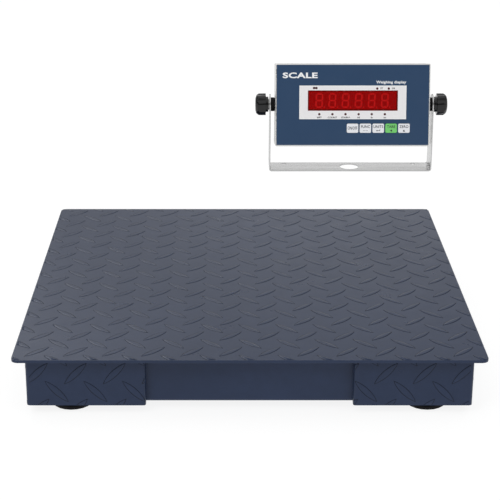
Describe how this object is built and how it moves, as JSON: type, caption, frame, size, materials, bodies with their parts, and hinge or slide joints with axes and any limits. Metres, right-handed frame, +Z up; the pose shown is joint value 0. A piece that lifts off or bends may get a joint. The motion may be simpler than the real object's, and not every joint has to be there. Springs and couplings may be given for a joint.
{
  "type": "pallet scale",
  "caption": "Low square checker-plate weighing platform on levelling feet, with a separate weighing indicator that tilts in a stainless yoke held above it.",
  "frame": {"origin": "on the floor, under the centre of the platform", "axes": "+Z up, +X to the right and +Y away from someone who reads the indicator"},
  "size_m": [0.8, 0.8, 0.5925],
  "materials": {
    "painted_steel": "slate-blue baked enamel, satin",
    "bare_steel": "machined and plated steel",
    "stainless": "brushed stainless sheet",
    "black_rubber": "moulded rubber, matt",
    "black_plastic": "moulded plastic, satin",
    "nylon": "turned nylon",
    "blue_film": "printed polyester film, fine texture",
    "grey_print": "printed polyester film, fine texture",
    "red_lens": "clear red acrylic",
    "key_white": "printed key cap",
    "key_green": "printed key cap",
    "circuit_green": "solder-masked board",
    "box_grey": "grey powder coat"
  },
  "bodies": {
    "platform": {"deck_plate": "painted_steel", "skirt_front_left": "painted_steel", "skirt_front_right": "painted_steel", "skirt_rear_left": "painted_steel", "skirt_rear_right": "painted_steel", "front_channel": "painted_steel", "rear_channel": "painted_steel", "left_beam": "painted_steel", "right_beam": "painted_steel", "left_rib": "painted_steel", "right_rib": "painted_steel", "cell_spacer_front_left": "bare_steel", "cell_spacer_front_right": "bare_steel", "cell_spacer_rear_left": "bare_steel", "cell_spacer_rear_right": "bare_steel", "load_cell_front_left": "bare_steel", "load_cell_front_right": "bare_steel", "load_cell_rear_left": "bare_steel", "load_cell_rear_right": "bare_steel", "junction_box": "box_grey", "junction_lid": "box_grey", "summing_board": "circuit_green", "signal_gland": "black_plastic"},
    "foot_socket_front_left": {"foot_socket_front_left": "nylon"},
    "foot_stem_front_left": {"foot_stem_front_left": "bare_steel"},
    "foot_base_front_left": {"foot_base_front_left": "black_rubber"},
    "foot_socket_front_right": {"foot_socket_front_right": "nylon"},
    "foot_stem_front_right": {"foot_stem_front_right": "bare_steel"},
    "foot_base_front_right": {"foot_base_front_right": "black_rubber"},
    "foot_socket_rear_left": {"foot_socket_rear_left": "nylon"},
    "foot_stem_rear_left": {"foot_stem_rear_left": "bare_steel"},
    "foot_base_rear_left": {"foot_base_rear_left": "black_rubber"},
    "foot_socket_rear_right": {"foot_socket_rear_right": "nylon"},
    "foot_stem_rear_right": {"foot_stem_rear_right": "bare_steel"},
    "foot_base_rear_right": {"foot_base_rear_right": "black_rubber"},
    "yoke": {"yoke": "stainless"},
    "head": {"case": "stainless", "rear_cover": "stainless", "signal_socket": "bare_steel", "power_socket": "black_plastic", "front_film": "blue_film", "window_surround": "grey_print", "red_lens": "red_lens", "key_board": "circuit_green", "digit_module": "black_plastic", "main_board": "circuit_green", "battery": "black_plastic", "left_stud": "bare_steel", "right_stud": "bare_steel", "left_bush": "black_rubber", "right_bush": "black_rubber"},
    "power_key": {"power_key": "key_white"},
    "function_key": {"function_key": "key_white"},
    "unit_key": {"unit_key": "key_white"},
    "tare_key": {"tare_key": "key_green"},
    "zero_key": {"zero_key": "key_white"},
    "left_washer": {"left_washer": "bare_steel"},
    "left_knob": {"left_knob": "black_plastic"},
    "right_washer": {"right_washer": "bare_steel"},
    "right_knob": {"right_knob": "black_plastic"}
  },
  "joints": [
    {"name": "foot_height_front_left", "type": "slide", "parent": "platform", "child": "foot_socket_front_left", "axis": [0, 0, -1], "range_m": [0, 0.00875]},
    {"name": "foot_screw_front_left", "type": "hinge", "parent": "foot_socket_front_left", "child": "foot_stem_front_left", "pos_m": [-0.306, -0.33, 0.014], "axis": [0, 0, -1], "range_deg": [0, 1800]},
    {"name": "foot_tilt_front_left", "type": "hinge", "parent": "foot_socket_front_left", "child": "foot_base_front_left", "pos_m": [-0.306, -0.33, 0.014], "axis": [1, 0, 0], "range_deg": [-5, 5]},
    {"name": "foot_height_front_right", "type": "slide", "parent": "platform", "child": "foot_socket_front_right", "axis": [0, 0, -1], "range_m": [0, 0.00875]},
    {"name": "foot_screw_front_right", "type": "hinge", "parent": "foot_socket_front_right", "child": "foot_stem_front_right", "pos_m": [0.306, -0.33, 0.014], "axis": [0, 0, -1], "range_deg": [0, 1800]},
    {"name": "foot_tilt_front_right", "type": "hinge", "parent": "foot_socket_front_right", "child": "foot_base_front_right", "pos_m": [0.306, -0.33, 0.014], "axis": [1, 0, 0], "range_deg": [-5, 5]},
    {"name": "foot_height_rear_left", "type": "slide", "parent": "platform", "child": "foot_socket_rear_left", "axis": [0, 0, -1], "range_m": [0, 0.00875]},
    {"name": "foot_screw_rear_left", "type": "hinge", "parent": "foot_socket_rear_left", "child": "foot_stem_rear_left", "pos_m": [-0.306, 0.33, 0.014], "axis": [0, 0, -1], "range_deg": [0, 1800]},
    {"name": "foot_tilt_rear_left", "type": "hinge", "parent": "foot_socket_rear_left", "child": "foot_base_rear_left", "pos_m": [-0.306, 0.33, 0.014], "axis": [1, 0, 0], "range_deg": [-5, 5]},
    {"name": "foot_height_rear_right", "type": "slide", "parent": "platform", "child": "foot_socket_rear_right", "axis": [0, 0, -1], "range_m": [0, 0.00875]},
    {"name": "foot_screw_rear_right", "type": "hinge", "parent": "foot_socket_rear_right", "child": "foot_stem_rear_right", "pos_m": [0.306, 0.33, 0.014], "axis": [0, 0, -1], "range_deg": [0, 1800]},
    {"name": "foot_tilt_rear_right", "type": "hinge", "parent": "foot_socket_rear_right", "child": "foot_base_rear_right", "pos_m": [0.306, 0.33, 0.014], "axis": [1, 0, 0], "range_deg": [-5, 5]},
    {"name": "indicator_placement", "type": "slide", "parent": "platform", "child": "yoke", "axis": [0, 0, 1], "range_m": [-0.302, 0]},
    {"name": "head_tilt", "type": "hinge", "parent": "yoke", "child": "head", "pos_m": [0.165, -0.293, 0.5206], "axis": [1, 0, 0], "range_deg": [-78, 102]},
    {"name": "power_key_press", "type": "slide", "parent": "head", "child": "power_key", "axis": [0, 0.9781, -0.2079], "range_m": [0, 0.0006], "stiffness_N_per_m": 2500},
    {"name": "function_key_press", "type": "slide", "parent": "head", "child": "function_key", "axis": [0, 0.9781, -0.2079], "range_m": [0, 0.0006], "stiffness_N_per_m": 2500},
    {"name": "unit_key_press", "type": "slide", "parent": "head", "child": "unit_key", "axis": [0, 0.9781, -0.2079], "range_m": [0, 0.0006], "stiffness_N_per_m": 2500},
    {"name": "tare_key_press", "type": "slide", "parent": "head", "child": "tare_key", "axis": [0, 0.9781, -0.2079], "range_m": [0, 0.0006], "stiffness_N_per_m": 2500},
    {"name": "zero_key_press", "type": "slide", "parent": "head", "child": "zero_key", "axis": [0, 0.9781, -0.2079], "range_m": [0, 0.0006], "stiffness_N_per_m": 2500},
    {"name": "left_washer_slide", "type": "slide", "parent": "head", "child": "left_washer", "axis": [-1, 0, 0], "range_m": [0, 0.002]},
    {"name": "left_knob_turn", "type": "hinge", "parent": "left_washer", "child": "left_knob", "pos_m": [0.0287, -0.293, 0.5206], "axis": [-1, 0, 0], "range_deg": [0, 720]},
    {"name": "right_washer_slide", "type": "slide", "parent": "head", "child": "right_washer", "axis": [1, 0, 0], "range_m": [0, 0.002]},
    {"name": "right_knob_turn", "type": "hinge", "parent": "right_washer", "child": "right_knob", "pos_m": [0.3013, -0.293, 0.5206], "axis": [1, 0, 0], "range_deg": [0, 720]}
  ],
  "couplings": [
    {"joint": "foot_screw_front_left", "follows": "foot_height_front_left", "rad_per_m": 3590.4},
    {"joint": "foot_screw_front_right", "follows": "foot_height_front_right", "rad_per_m": 3590.4},
    {"joint": "foot_screw_rear_left", "follows": "foot_height_rear_left", "rad_per_m": 3590.4},
    {"joint": "foot_screw_rear_right", "follows": "foot_height_rear_right", "rad_per_m": 3590.4},
    {"joint": "left_knob_turn", "follows": "left_washer_slide", "rad_per_m": 6283.2},
    {"joint": "right_knob_turn", "follows": "right_washer_slide", "rad_per_m": 6283.2}
  ]
}
